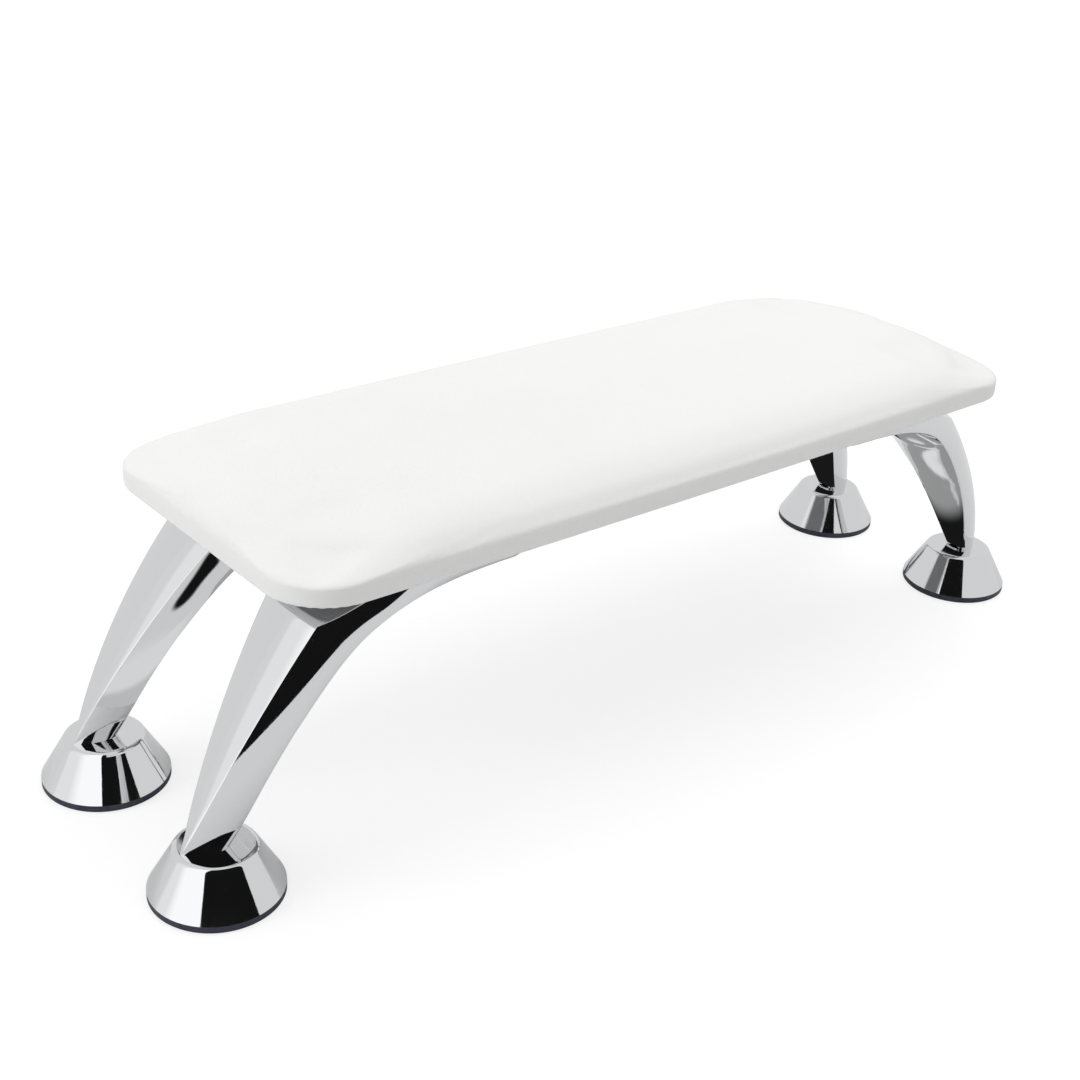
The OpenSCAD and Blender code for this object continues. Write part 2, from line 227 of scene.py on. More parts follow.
# The corners open out to the crown's radius at this rate, up to a share of the half width
CROWN_CORNER_R = 0.060
CORNER_RATE = 3.0
ROUND_SHARE = 0.85
END_STEPS = 8
CORNER_STEPS = 22
SIDE_STEPS = 30


def quarter(half_l, half_w, radius):
    """An outline from the middle of the right end to just before the middle of the back side."""
    points = [(half_l, (half_w - radius) * i / END_STEPS) for i in range(END_STEPS)]
    for i in range(CORNER_STEPS + 1):
        turn = 0.5 * math.pi * i / CORNER_STEPS
        points.append((half_l - radius + radius * math.cos(turn),
                       half_w - radius + radius * math.sin(turn)))
    points += [((half_l - radius) * (1 - i / SIDE_STEPS), half_w) for i in range(1, SIDE_STEPS)]
    return points


def pad_outline(inset, radius):
    """The pad's outline drawn in by an inset, anticlockwise, with the bow of its long sides."""
    half_l = PAD_L / 2 - inset
    half_w = PAD_W / 2 - inset
    part = quarter(half_l, half_w, min(radius, ROUND_SHARE * half_w))
    half = part + [(0, half_w)] + [(-x, y) for x, y in reversed(part[1:])]
    whole = half + [(-half_l, 0)] + [(x, -y) for x, y in reversed(half[1:])]
    return [(x, y * (1 + 2 * PAD_BOW / PAD_W * (1 - (2 * x / PAD_L) ** 2))) for x, y in whole]


def crown_ring(inset, skin):
    """One ring of the rolled and crowned top, lowered and drawn in by a skin."""
    grown = 1 - math.exp(-CORNER_RATE * inset / ROLL_W)
    radius = PAD_CORNER_R + (CROWN_CORNER_R - PAD_CORNER_R) * grown - skin * (1 - grown)
    level = PAD_Z + BAND_H - skin + ROLL_H * (1 - math.exp(-inset / ROLL_W))
    return [
        (x, y, level + grown * CROWN_H
         * max(0, 1 - (2 * x / PAD_L) ** 2) * max(0, 1 - (2 * y / PAD_W) ** 2))
        for x, y in pad_outline(inset + skin, radius)]


def put_in_scene(name, data):
    """An object with its data, linked to the scene."""
    added = bpy.data.objects.new(name, data)
    bpy.context.collection.objects.link(added)
    return added


def new_piece(name, mesh):
    """A piece with the faces of a bmesh, which is used up."""
    data = bpy.data.meshes.new(name)
    mesh.to_mesh(data)
    mesh.free()
    return put_in_scene(name, data)


def ring_piece(name, rings):
    """A closed form through a stack of rings, bridged across its last and its first ring."""
    mesh = bmesh.new()
    stack = [[mesh.verts.new(point) for point in ring] for ring in rings]
    count = len(rings[0])
    for lower, upper in zip(stack, stack[1:]):
        for i in range(count):
            j = (i + 1) % count
            mesh.faces.new((lower[i], lower[j], upper[j], upper[i]))
    for ring, order in ((stack[-1], 1), (stack[0], -1)):
        mesh.faces.new((ring[0], ring[1], ring[-1])[::order])
        for i in range(1, count // 2 - 1):
            mesh.faces.new((ring[i], ring[i + 1], ring[-i - 1], ring[-i])[::order])
        middle = count // 2
        mesh.faces.new((ring[middle - 1], ring[middle], ring[middle + 1])[::order])
    mesh.normal_update()
    piece = new_piece(name, mesh)
    piece.data.shade_smooth()
    return piece


# Insets of the foam's rings from its edge
FOAM_INSETS = [0, 0.0007, 0.002, 0.004, 0.0075, 0.0135, 0.025, 0.043, 0.058]

foam_skin = COVER_T + SKIN_GAP
foam = ring_piece("foam_block", [crown_ring(inset, foam_skin) for inset in FOAM_INSETS])


def open_cell_foam():
    """Yellowish foam with small open cells."""
    material, tree, shader = new_material("open_cell_foam", 0.95)
    cells = place(tree, "ShaderNodeTexVoronoi", {
        "Vector": object_place(tree), "Scale": CELL_FINENESS, "Randomness": 1.0})
    tint(tree, shader, cells.outputs["Distance"], FOAM_COLOUR, FOAM_SHADE)
    bump(tree, shader, cells.outputs["Distance"], CELL_DEPTH)
    return material


foam.data.materials.append(open_cell_foam())
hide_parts("foam")
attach(foam, "root")


# Cover
# White leather-like cloth, 1 mm thick, pulled over the foam and round the board's edge. It stands
# in a low upright band round the board, rolls over above it and swells to a flat crown. It is
# gathered at the corners and turned in under the board.
COVER_COLOUR = (0.93, 0.93, 0.925, 1)
COVER_SHADE = (0.915, 0.915, 0.91, 1)
COVER_ROUGHNESS = 0.52
LEATHER_DEPTH = 0.00003
# Width that is turned in below, the corners of the opening it leaves, and the fold at the edge
TURN_IN = 0.014
OPENING_R = 0.012
FOLD_R = 0.0014
FOLD_STEPS = 4
# Width between the innermost rings below, where the opening is cut later
MIDDLE_STRIP = 0.014
# How far the cloth may swell, and the pressure and time it gets for it
SWELL = 0.0008
PRESSURE = 4.0
SWELL_FRAMES = 20
# Distance between the gathers at the corners, and their depth in the band and under the board
GATHER_PITCH = 0.0042
GATHER_BAND = 0.00010
GATHER_UNDER = 0.00035
# Part of the band's height that they fade out in, and how they fade towards the straight sides
GATHER_TOP = 0.7
GATHER_FADE = 0.7
# Heights up to which a point counts as under the board, for the gathers and for the opening, and
# how far inside the fold a point still counts as in the band
UNDER_H = 0.0005
OPENING_H = 0.0006
BAND_PLAY = 0.0002

under_insets = [0.5 * (PAD_W - MIDDLE_STRIP), 0.045, 0.030, 0.020, TURN_IN, 0.011, 0.008, 0.005,
                0.003]
cover_rings = []
for inset in under_insets:
    blend_in = min(1.0, inset / TURN_IN)
    radius = PAD_CORNER_R + (OPENING_R - PAD_CORNER_R) * blend_in
    cover_rings.append([(x, y, PAD_Z) for x, y in pad_outline(inset, radius)])
for i in range(FOLD_STEPS + 1):
    turn = 0.5 * math.pi * i / FOLD_STEPS
    inset = FOLD_R * (1 - math.sin(turn))
    cover_rings.append([(x, y, PAD_Z + FOLD_R * (1 - math.cos(turn)))
                        for x, y in pad_outline(inset, PAD_CORNER_R - inset)])
for share in (0.4, 0.75, 0.92):
    cover_rings.append([(x, y, PAD_Z + BAND_H * share) for x, y in pad_outline(0, PAD_CORNER_R)])
roll_insets = [0.0003, 0.0011, 0.0022, 0.0036, 0.0052, 0.0072, 0.010, 0.0135, 0.018, 0.0235, 0.030,
               0.037, 0.0445, 0.0525, 0.0605]
cover_rings += [crown_ring(inset, 0.0) for inset in roll_insets]
cover = ring_piece("cover_cloth", cover_rings)
ring_count = len(cover_rings[0])
band_rings = len(cover_rings) - len(roll_insets)


def swell(piece, first_free, frames, most):
    """Lets the cloth swell under the foam's pressure, and keeps each point within a cap."""
    rest = [vertex.co.copy() for vertex in piece.data.vertices]
    held = piece.vertex_groups.new(name="held")
    held.add(list(range(first_free)), 1.0, "REPLACE")
    cloth = piece.modifiers.new("swell", "CLOTH")
    cloth.settings.use_pressure = True
    cloth.settings.uniform_pressure_force = PRESSURE
    cloth.settings.effector_weights.gravity = 0.0
    cloth.settings.vertex_group_mass = "held"
    cloth.settings.tension_stiffness = 40.0
    cloth.settings.compression_stiffness = 40.0
    cloth.settings.bending_stiffness = 8.0
    cloth.point_cache.frame_start = 1
    cloth.point_cache.frame_end = frames
    scene = bpy.context.scene
    for step in range(1, frames + 1):
        scene.frame_set(step)
    swollen = piece.evaluated_get(bpy.context.evaluated_depsgraph_get())
    moved = [vertex.co.copy() for vertex in swollen.data.vertices]
    piece.modifiers.remove(cloth)
    piece.vertex_groups.remove(held)
    scene.frame_set(1)
    for vertex, start, end in zip(piece.data.vertices, rest, moved):
        step = end - start
        if step.length > most:
            step = step.normalized() * most
        vertex.co = start + step


swell(cover, ring_count * band_rings, SWELL_FRAMES, SWELL)


def divide(piece, levels):
    """Subdivides a piece and keeps the result as its mesh."""
    layer = piece.modifiers.new("divide", "SUBSURF")
    layer.levels = layer.render_levels = levels
    smooth = piece.evaluated_get(bpy.context.evaluated_depsgraph_get())
    data = bpy.data.meshes.new_from_object(smooth)
    piece.modifiers.remove(layer)
    piece.data = data


divide(cover, 1)


def gather(piece):
    """Small folds where the cover is drawn in round the corners, deepest under the board."""
    centre_x = PAD_L / 2 - PAD_CORNER_R
    centre_y = PAD_W / 2 - PAD_CORNER_R
    for vertex in piece.data.vertices:
        x, y, z = vertex.co
        out_x = abs(x) - centre_x
        out_y = abs(y) - centre_y
        if out_x <= 0 or out_y <= 0 or z > PAD_Z + BAND_H:
            continue
        turn = math.atan2(out_y, out_x)
        near_corner = math.sin(2 * turn) ** GATHER_FADE
        reach = math.hypot(out_x, out_y)
        folds = math.cos(2 * math.pi * turn * PAD_CORNER_R / GATHER_PITCH)
        if reach > PAD_CORNER_R - FOLD_R - BAND_PLAY:
            fade = max(0.0, 1 - (z - PAD_Z) / (GATHER_TOP * BAND_H))
            depth = GATHER_BAND * near_corner * fade * folds
            vertex.co.x += math.copysign(depth * math.cos(turn), x)
            vertex.co.y += math.copysign(depth * math.sin(turn), y)
        if z < PAD_Z + UNDER_H and reach > PAD_CORNER_R - TURN_IN:
            vertex.co.z += GATHER_UNDER * near_corner * max(0.0, folds)


gather(cover)


def in_opening(spot):
    """Whether a spot of the cover lies in the round-cornered opening below the board."""
    over_x = abs(spot.x) - PAD_L / 2 + TURN_IN + OPENING_R
    over_y = abs(spot.y) - PAD_W / 2 + TURN_IN + OPENING_R
    if over_x > 0 and over_y > 0:
        over = math.hypot(over_x, over_y)
    else:
        over = max(over_x, over_y)
    return over < OPENING_R and spot.z < PAD_Z + OPENING_H


def open_below(piece):
    """Cuts the opening that the turned-in cover leaves, and gives the cloth its thickness."""
    shape = bmesh.new()
    shape.from_mesh(piece.data)
    inside = [face for face in shape.faces if in_opening(face.calc_center_median())]
    bmesh.ops.delete(shape, geom=inside, context="FACES")
    shape.to_mesh(piece.data)
    shape.free()
    cloth = piece.modifiers.new("cloth_thickness", "SOLIDIFY")
    cloth.thickness = COVER_T
    cloth.offset = -1.0
    cloth.use_rim = True


open_below(cover)


def leather_grain():
    """Node group: fine pebbled grain and soft creases of a leather-like cloth, as a height."""
    group, entry, leave = new_group("leather_grain", "Height")
    pebbles = place(group, "ShaderNodeTexVoronoi", {
        "Vector": entry.outputs["Vector"], "Scale": 1400.0, "Randomness": 1.0},
        feature="DISTANCE_TO_EDGE")
    rounded = place(group, "ShaderNodeMapRange", {
        "Value": pebbles.outputs["Distance"], "From Max": 0.25}, interpolation_type="SMOOTHSTEP")
    uneven = place(group, "ShaderNodeTexNoise", {
        "Vector": entry.outputs["Vector"], "Scale": 220.0, "Detail": 4.0, "Roughness": 0.55})
    height = place(group, "ShaderNodeMath", {
        0: uneven.outputs["Fac"], 1: 0.5, 2: rounded.outputs[0]}, operation="MULTIPLY_ADD")
    group.links.new(height.outputs[0], leave.inputs["Height"])
    return group


def white_leather_cloth():
    """White, a little greyer where it was handled, and smoother on top of the grain."""
    material, tree, shader = new_material("white_leather_cloth", COVER_ROUGHNESS)
    spot = object_place(tree)
    grain = place(tree, "ShaderNodeGroup", {"Vector": spot}, node_tree=leather_grain())
    patches = place(tree, "ShaderNodeGroup", {"Vector": spot, "Size": 14.0}, node_tree=SMUDGES)
    tint(tree, shader, patches.outputs["Mask"], COVER_COLOUR, COVER_SHADE)
    vary_roughness(tree, shader, grain.outputs["Height"],
                   COVER_ROUGHNESS + 0.10, COVER_ROUGHNESS - 0.04, top=1.5)
    bump(tree, shader, grain.outputs["Height"], LEATHER_DEPTH)
    return material


cover.data.materials.clear()
cover.data.materials.append(white_leather_cloth())
cover.data.shade_smooth()
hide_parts("cover")
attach(cover, "root")


# Staples
# Fourteen flat-crowned wire staples that hold the turned-in cover to the board. They are zinc
# plated, so they are paler than the screws.
ZINC = (0.72, 0.73, 0.75, 1)
zinc_plate = metal("zinc_plate", ZINC, shine=0.26, dull=0.42, smudge_size=250.0,
                   scratch_size=3000.0, scratch_depth=0.00001)
finish(["staples"], zinc_plate)


# Lining
# A sheet of dark non-woven cloth, stretched over the board inside the turned-in cover. The heads
# of the legs are screwed down over it.
LINING_COLOUR = (0.24, 0.24, 0.25, 1)
LINING_FLECK = (0.36, 0.36, 0.375, 1)
LINING_DEPTH = 0.0003
LINING_STEP = 0.003
# Unevenness of its lower face, which fades out over a few steps at the edges
LINING_SAG = 0.00006
EDGE_STEPS = 3
LINING_CREASE = math.radians(40)
lining_low, lining_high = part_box("lining")


def cloth_sheet(name, low, high, corner, step, sag):
    """A flat sheet with rounded corners and a slight unevenness on its lower face."""
    mesh = bmesh.new()
    columns = round((high.x - low.x) / step)
    rows = round((high.y - low.y) / step)

    def inside(x, y):
        """Draws a point of the rectangle in at the rounded corners."""
        over_x = abs(x) - (high.x - low.x) / 2 + corner
        over_y = abs(y) - (high.y - low.y) / 2 + corner
        if over_x <= 0 or over_y <= 0:
            return x, y
        reach = max(over_x, over_y) / math.hypot(over_x, over_y)
        return (math.copysign(abs(x) - over_x * (1 - reach), x),
                math.copysign(abs(y) - over_y * (1 - reach), y))

    for top in (False, True):
        grid = []
        for i in range(columns + 1):
            line = []
            for j in range(rows + 1):
                x, y = inside(low.x + (high.x - low.x) * i / columns,
                              low.y + (high.y - low.y) * j / rows)
                rise = sag * math.sin(90 * x + 2 * math.sin(70 * y)) * math.sin(110 * y)
                edge = min(1.0, min(i, j, columns - i, rows - j) / EDGE_STEPS)
                line.append(mesh.verts.new(
                    (x, y, high.z if top else low.z + edge * (sag + rise))))
            grid.append(line)
        for i in range(columns):
            for j in range(rows):
                corners = (grid[i][j], grid[i + 1][j], grid[i + 1][j + 1], grid[i][j + 1])
                mesh.faces.new(corners if top else corners[::-1])
        if top:
            for i in range(columns):
                mesh.faces.new((lower[i][0], lower[i + 1][0], grid[i + 1][0], grid[i][0]))
                mesh.faces.new((grid[i][-1], grid[i + 1][-1], lower[i + 1][-1], lower[i][-1]))
            for j in range(rows):
                mesh.faces.new((grid[0][j], grid[0][j + 1], lower[0][j + 1], lower[0][j]))
                mesh.faces.new((lower[-1][j], lower[-1][j + 1], grid[-1][j + 1], grid[-1][j]))
        lower = grid
    bmesh.ops.recalc_face_normals(mesh, faces=mesh.faces)
    piece = new_piece(name, mesh)
    piece.data.shade_smooth()
    piece.data.set_sharp_from_angle(angle=LINING_CREASE)
    return piece


lining = cloth_sheet("lining_cloth", lining_low, lining_high, OPENING_R - SKIN_GAP,
                     LINING_STEP, LINING_SAG)


def non_woven_cloth():
    """Dark fibres with paler flecks, pressed with a grid of dimples."""
    material, tree, shader = new_material("non_woven_cloth", 0.92)
    spot = object_place(tree)
    fibres = place(tree, "ShaderNodeTexNoise", {
        "Vector": spot, "Scale": 900.0, "Detail": 6.0, "Roughness": 0.75, "Distortion": 2.5})
    dimples = place(tree, "ShaderNodeTexVoronoi", {
        "Vector": stretched(tree, spot, (1, 1, 0)), "Scale": 420.0, "Randomness": 0.1})
    tint(tree, shader, fibres.outputs["Fac"], LINING_COLOUR, LINING_FLECK)
    height = place(tree, "ShaderNodeMath", {
        0: fibres.outputs["Fac"], 1: 0.5, 2: dimples.outputs["Distance"]}, operation="MULTIPLY_ADD")
    bump(tree, shader, height.outputs[0], LINING_DEPTH)
    return material


lining.data.materials.append(non_woven_cloth())
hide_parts("lining")
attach(lining, "root")


# Legs
# Four castings, polished and chromed. Each is a curved horn with crowned faces and soft ridges.
# It stands on its cup, leans in under the pad, and ends in a flat head with three screws. The
# spigot that each leg has inside its cup isn't modelled here.
CHROME = (0.76, 0.765, 0.775, 1)
LEG_CREASE = math.radians(50)
cup_low, cup_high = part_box("cup_back_right")
leg_low, leg_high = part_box("leg_back_right")
FOOT = Vector(((cup_low.x + cup_high.x) / 2, (cup_low.y + cup_high.y) / 2, 0))
CUP_TOP = cup_high.z
# Outer curve: how far out it stands at the cup and how far in at the crease, and its radius
BACK_LOW = leg_high.x - FOOT.x
BACK_TOP = 0.0367
BACK_R = 0.323
CREASE_Z = PAD_Z - 0.0155
# The shoulder is the slanted cut from the crease up to the pad
SHOULDER_L = 0.0352
# Inner curve: how far in it stands at the cup and at its upper end, its radius and that end
FRONT_LOW = 0.0036
FRONT_TOP = 0.0464
FRONT_R = 0.222
FRONT_Z = PAD_Z - 0.025
# Head: how far it reaches inwards and to both sides, its thickness and its blend into the horn
HEAD_END = leg_low.x - FOOT.x
HEAD_OUT = leg_high.y - FOOT.y
HEAD_IN = FOOT.y - leg_low.y
HEAD_T = 0.0077
HEAD_CORNER_R = 0.008
HEAD_FLAT_L = 0.0233
HEAD_BLEND_R = 0.100
# For each flank: its slant, its distance at the foot and at the crease, and its curve's radius
FLANK_OUT = (0.36, 0.0039, -0.0042, 0.221)
FLANK_IN = (0.25, 0.0044, 0.0132, 1.100)
# The least and the most of its height that a flank's curve is carried on to
FLANK_REACH = (-0.05, 1.2)
# How softly a flank turns where the head's width limits it
SOFT_TURN = 0.0012
# Radii of the ridges, which are softest at the foot, their limit as a share of the shorter side
# next to them, and the crown of the two faces
RIDGE_R = 0.0008
FOOT_RIDGE_R = 0.0034
RIDGE_LIMIT = 0.45
FACE_CROWN_R = 0.045
# Stations of the loft: up the horn to the crease, over the shoulder and along the head
HORN_STEPS = 36
SHOULDER_STEPS = 16
HEAD_STEPS = 24
# The inner edge runs this far ahead of the outer one from the shoulder's end on. It is smoothed
# between two stations, in this many passes.
INNER_LEAD = 0.006
SMOOTHED = (22, 64)
SMOOTH_PASSES = 45
# Past the crease the faces go flat in this many stations
FLAT_STEPS = 8
# The flanks run on past the shoulder's cut up to this station, less and less over the last ones
UNCUT_END = 60
UNCUT_STEPS = 14
# Above the foot the ridges take this many stations to sharpen
FOOT_STEPS = 9
# Bulge of the flanks at stations of the leg, from the foot to the end of the head
FLANK_BULGES = ((0, 0.0015), (16, 0.0010), (35, 0.0019), (52, 0.0013), (76, 0.0008))
# Steps round the section: along a flank, across a face and round a ridge
FLANK_STEPS = 10
FACE_STEPS = 12
RIDGE_STEPS = 4
# Halvings of the search for the place where a flank is cut off
HALVINGS = 30
# Places of the head's screws from the foot's axis, and their counterbores below the seats
SCREW_SPOTS = ((-0.108, 0.0089), (-0.108, -0.0201), (-0.082, -0.0056))
SEAT_T = 0.006
COUNTERBORE_R = 0.005
COUNTERBORE_H = 0.020


def arc_between(low, high, radius, share):
    """A point on an arc between two points, bulging to the right of the way up."""
    low, high = Vector(low), Vector(high)
    chord = high - low
    half = math.asin(chord.length / 2 / radius)
    middle = (low + high) / 2
    side = Vector((-chord.y, chord.x)).normalized()
    centre = middle + side * radius * math.cos(half)
    turn = half * (2 * share - 1)
    return centre + radius * (math.sin(turn) * chord.normalized() - math.cos(turn) * side)


def flank_width(flank, x, z):
    """Distance of a flank from the foot's axis at a place along and up the leg."""
    slope, low, high, radius = flank
    least, most = FLANK_REACH
    share = max(least, min(most, (z - CUP_TOP) / (CREASE_Z - CUP_TOP)))
    level = arc_between((low, CUP_TOP), (high, CREASE_Z), radius, share).x
    return math.sqrt(1 + slope * slope) * level - slope * x


def head_limit(x, width):
    """Half width of the head's plan at a place along it, with its rounded inner corners."""
    into = HEAD_END + HEAD_CORNER_R - x
    if into <= 0:
        return width
    return width - HEAD_CORNER_R + math.sqrt(max(0, HEAD_CORNER_R ** 2 - into ** 2))


def soffit(x):
    """Height of the head's underside."""
    flat_end = HEAD_END + HEAD_FLAT_L
    level = PAD_Z - HEAD_T
    if x <= flat_end:
        return level
    return level - HEAD_BLEND_R + math.sqrt(HEAD_BLEND_R ** 2 - (x - flat_end) ** 2)


def inner_curve(x):
    """Height of the leg's inner curve, carried on past its upper point."""
    low, high = Vector((-FRONT_LOW, CUP_TOP)), Vector((-FRONT_TOP, FRONT_Z))
    chord = high - low
    side = Vector((-chord.y, chord.x)).normalized()
    centre = (low + high) / 2 + side * math.sqrt(FRONT_R ** 2 - chord.length_squared / 4)
    return centre.y + math.sqrt(FRONT_R ** 2 - (x - centre.x) ** 2)


def leg_stations():
    """Pairs of points on the outer and the inner edge, from the foot to the end of the head."""
    outer, inner = [], []
    for i in range(HORN_STEPS + 1):
        share = i / HORN_STEPS
        outer.append(arc_between((BACK_LOW, CUP_TOP), (-BACK_TOP, CREASE_Z), BACK_R, share))
        inner.append(arc_between((-FRONT_LOW, CUP_TOP), (-FRONT_TOP, FRONT_Z), FRONT_R, share))
    shoulder_end = -BACK_TOP - SHOULDER_L
    for i in range(1, SHOULDER_STEPS + 1):
        share = i / SHOULDER_STEPS
        outer.append(Vector((-BACK_TOP - SHOULDER_L * share,
                             CREASE_Z + (PAD_Z - CREASE_Z) * share)))
        x = -FRONT_TOP + (shoulder_end - INNER_LEAD + FRONT_TOP) * share
        inner.append(Vector((x, min(soffit(x), inner_curve(x)))))
    for i in range(1, HEAD_STEPS + 1):
        share = math.sin(math.pi / 2 * i / HEAD_STEPS)
        outer.append(Vector((shoulder_end + (HEAD_END - shoulder_end) * share, PAD_Z)))
        x = shoulder_end - INNER_LEAD + (HEAD_END - shoulder_end + INNER_LEAD) * share
        inner.append(Vector((x, soffit(x))))
    first, last = SMOOTHED
    for _ in range(SMOOTH_PASSES):
        inner[first:last] = [(inner[i - 1] + 2 * inner[i] + inner[i + 1]) / 4
                             for i in range(first, last)]
    return outer, inner


def flank_bulge(k):
    """How far the flanks bulge at one station."""
    for (k_low, low), (k_high, high) in zip(FLANK_BULGES, FLANK_BULGES[1:]):
        if k <= k_high:
            break
    share = (1 - math.cos(math.pi * (k - k_low) / (k_high - k_low))) / 2
    return low + (high - low) * share


def lesser(width, limit):
    """The lesser of two widths, with a soft turn from one to the other."""
    return (width + limit - math.sqrt((width - limit) ** 2 + SOFT_TURN ** 2)) / 2


def crowned_side(start, end, crown_r, along):
    """A point at a distance along a side that is straight or bulges outwards."""
    length = (end - start).length
    out = Vector((end.y - start.y, start.x - end.x)).normalized()
    rise = 0.0
    if crown_r:
        rise = math.sqrt(crown_r ** 2 - (along - length / 2) ** 2) - math.sqrt(
            crown_r ** 2 - length ** 2 / 4)
    return start + (end - start) * along / length + out * rise


def along_at(start, end, crown_r, level):
    """Distance along a side at which it crosses a level of the section."""
    low, high = 0.0, (end - start).length
    for _ in range(HALVINGS):
        middle = (low + high) / 2
        if (crowned_side(start, end, crown_r, middle).x < level) == (end.x > start.x):
            low = middle
        else:
            high = middle
    return low


def rounded_section(depth, out_flank, in_flank, face_r, flank_r, ridge_r):
    """The leg's section in its own plane, with crowned sides and rounded corners.

    The flanks are given by their upper and lower points, and are cut off at the depth.
    """
    out_cut = along_at(*out_flank, flank_r, depth)
    in_cut = along_at(*in_flank, flank_r, depth)
    in_length = (in_flank[1] - in_flank[0]).length
    corners = [crowned_side(*in_flank, flank_r, in_cut), crowned_side(*out_flank, flank_r, out_cut),
               out_flank[1], in_flank[0]]
    lengths = [(corners[(k + 1) % 4] - corners[k]).length for k in range(4)]
    radii = [min(ridge_r, RIDGE_LIMIT * min(lengths[k - 1], lengths[k])) for k in range(4)]
    # For each side: its ends, its crown, its steps and the parts left out at both ends
    plan = ((corners[0], corners[1], face_r, FACE_STEPS, 0, 0),
            (*out_flank, flank_r, FLANK_STEPS, out_cut, 0),
            (corners[2], corners[3], face_r, FACE_STEPS, 0, 0),
            (*in_flank, flank_r, FLANK_STEPS, 0, in_length - in_cut))
    sides = []
    for k, (start, end, crown_r, steps, cut_start, cut_end) in enumerate(plan):
        first = cut_start + radii[k]
        free = (end - start).length - cut_end - radii[(k + 1) % 4] - first
        sides.append([crowned_side(start, end, crown_r, first + free * i / steps)
                      for i in range(steps + 1)])
    points = []
    for k in range(4):
        before, after = sides[k - 1], sides[k]
        corner, radius = corners[k], radii[k]
        back = (before[-1] - corner).normalized()
        forth = (after[0] - corner).normalized()
        half = math.acos(max(-1, min(1, back.dot(forth)))) / 2
        reach = radius / math.tan(half)
        centre = corner + (back + forth).normalized() * radius / math.sin(half)
        first = corner + back * reach - centre
        last = corner + forth * reach - centre
        spread = math.atan2(first.x * last.y - first.y * last.x, first.dot(last))
        for i in range(RIDGE_STEPS + 1):
            turn = spread * i / RIDGE_STEPS
            points.append(centre + Vector((
                first.x * math.cos(turn) - first.y * math.sin(turn),
                first.x * math.sin(turn) + first.y * math.cos(turn))))
        points += after[1:-1]
    return points


def leg_mesh():
    """The back right leg, round its foot's axis."""
    mesh = bmesh.new()
    outer, inner = leg_stations()
    crease_depth = (outer[HORN_STEPS] - inner[HORN_STEPS]).length
    rings = []
    for k, (top, low) in enumerate(zip(outer, inner)):
        depth = (top - low).length
        up = (top - low) / depth
        head_share = max(0.0, min(1.0, (k - HORN_STEPS) / FLAT_STEPS))
        # Above the crease the flanks run on as if the shoulder's cut weren't there
        uncut = max(0.0, min(1.0, (UNCUT_END - k) / UNCUT_STEPS)) if k > HORN_STEPS else 0.0
        reach = max(depth, depth + (crease_depth - depth) * uncut)
        widths = []
        for point in (low + up * reach, low):
            widths.append((
                lesser(flank_width(FLANK_OUT, point.x, point.y), head_limit(point.x, HEAD_OUT)),
                lesser(flank_width(FLANK_IN, point.x, point.y), head_limit(point.x, HEAD_IN))))
        out_flank = (Vector((reach, widths[0][0])), Vector((0, widths[1][0])))
        in_flank = (Vector((0, -widths[1][1])), Vector((reach, -widths[0][1])))
        # A face without a crown has 0 for its radius
        face_r = FACE_CROWN_R / (1 - head_share) if head_share < 1 else 0
        bulge = flank_bulge(k)
        flank_r = (reach ** 2 / 4 + bulge ** 2) / (2 * bulge)
        at_foot = max(0.0, 1 - k / FOOT_STEPS)
        section = rounded_section(depth, out_flank, in_flank, face_r, flank_r,
                                  RIDGE_R + (FOOT_RIDGE_R - RIDGE_R) * at_foot ** 2)
        rings.append([mesh.verts.new((low.x + up.x * s, w, low.y + up.y * s)) for s, w in section])
    for lower, upper in zip(rings, rings[1:]):
        for i in range(len(lower)):
            j = (i + 1) % len(lower)
            mesh.faces.new((lower[i], lower[j], upper[j], upper[i]))
    mesh.faces.new(rings[0][::-1])
    mesh.faces.new(rings[-1])
    bmesh.ops.recalc_face_normals(mesh, faces=mesh.faces)
    return mesh


def drilled_leg():
    """The leg with its head counterbored from below for the three screws."""
    leg = new_piece("leg_blank", leg_mesh())
    shape = bmesh.new()
    for x, y in SCREW_SPOTS:
        middle = Vector((x, y, PAD_Z - SEAT_T - COUNTERBORE_H / 2))
        bmesh.ops.create_cone(shape, cap_ends=True, segments=48, radius1=COUNTERBORE_R,
                              radius2=COUNTERBORE_R, depth=COUNTERBORE_H,
                              matrix=Matrix.Translation(middle))
    cutter = new_piece("counterbores", shape)
    cut = leg.modifiers.new("counterbores", "BOOLEAN")
    cut.operation = "DIFFERENCE"
    cut.solver = "MANIFOLD"
    cut.object = cutter
    drilled = bpy.data.meshes.new_from_object(
        leg.evaluated_get(bpy.context.evaluated_depsgraph_get()))
    bpy.data.objects.remove(cutter)
    bpy.data.objects.remove(leg)
    return drilled


def leg_piece(name, drilled, side, end):
    """One leg, moved or mirrored to its corner."""
    mesh = bmesh.new()
    mesh.from_mesh(drilled)
    bmesh.ops.transform(mesh, matrix=Matrix.Diagonal((side, end, 1, 1)) @ Matrix.Translation(FOOT),
                        verts=mesh.verts)
    if side * end < 0:
        bmesh.ops.reverse_faces(mesh, faces=mesh.faces)
    piece = new_piece(name, mesh)
    piece.data.shade_smooth()
    piece.data.set_sharp_from_angle(angle=LEG_CREASE)
    return piece


chrome = metal("mirror_chrome", CHROME, shine=0.035, dull=0.09, smudge_size=45.0,
               scratch_size=900.0, scratch_depth=0.000002)
corners = {"front_left": (-1, -1), "front_right": (1, -1), "back_left": (-1, 1),
           "back_right": (1, 1)}
drilled_mesh = drilled_leg()
for corner, (side, end) in corners.items():
    leg = leg_piece("leg_casting_" + corner, drilled_mesh, side, end)
    leg.data.materials.append(chrome)
    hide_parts("leg_" + corner)
    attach(leg, "root")


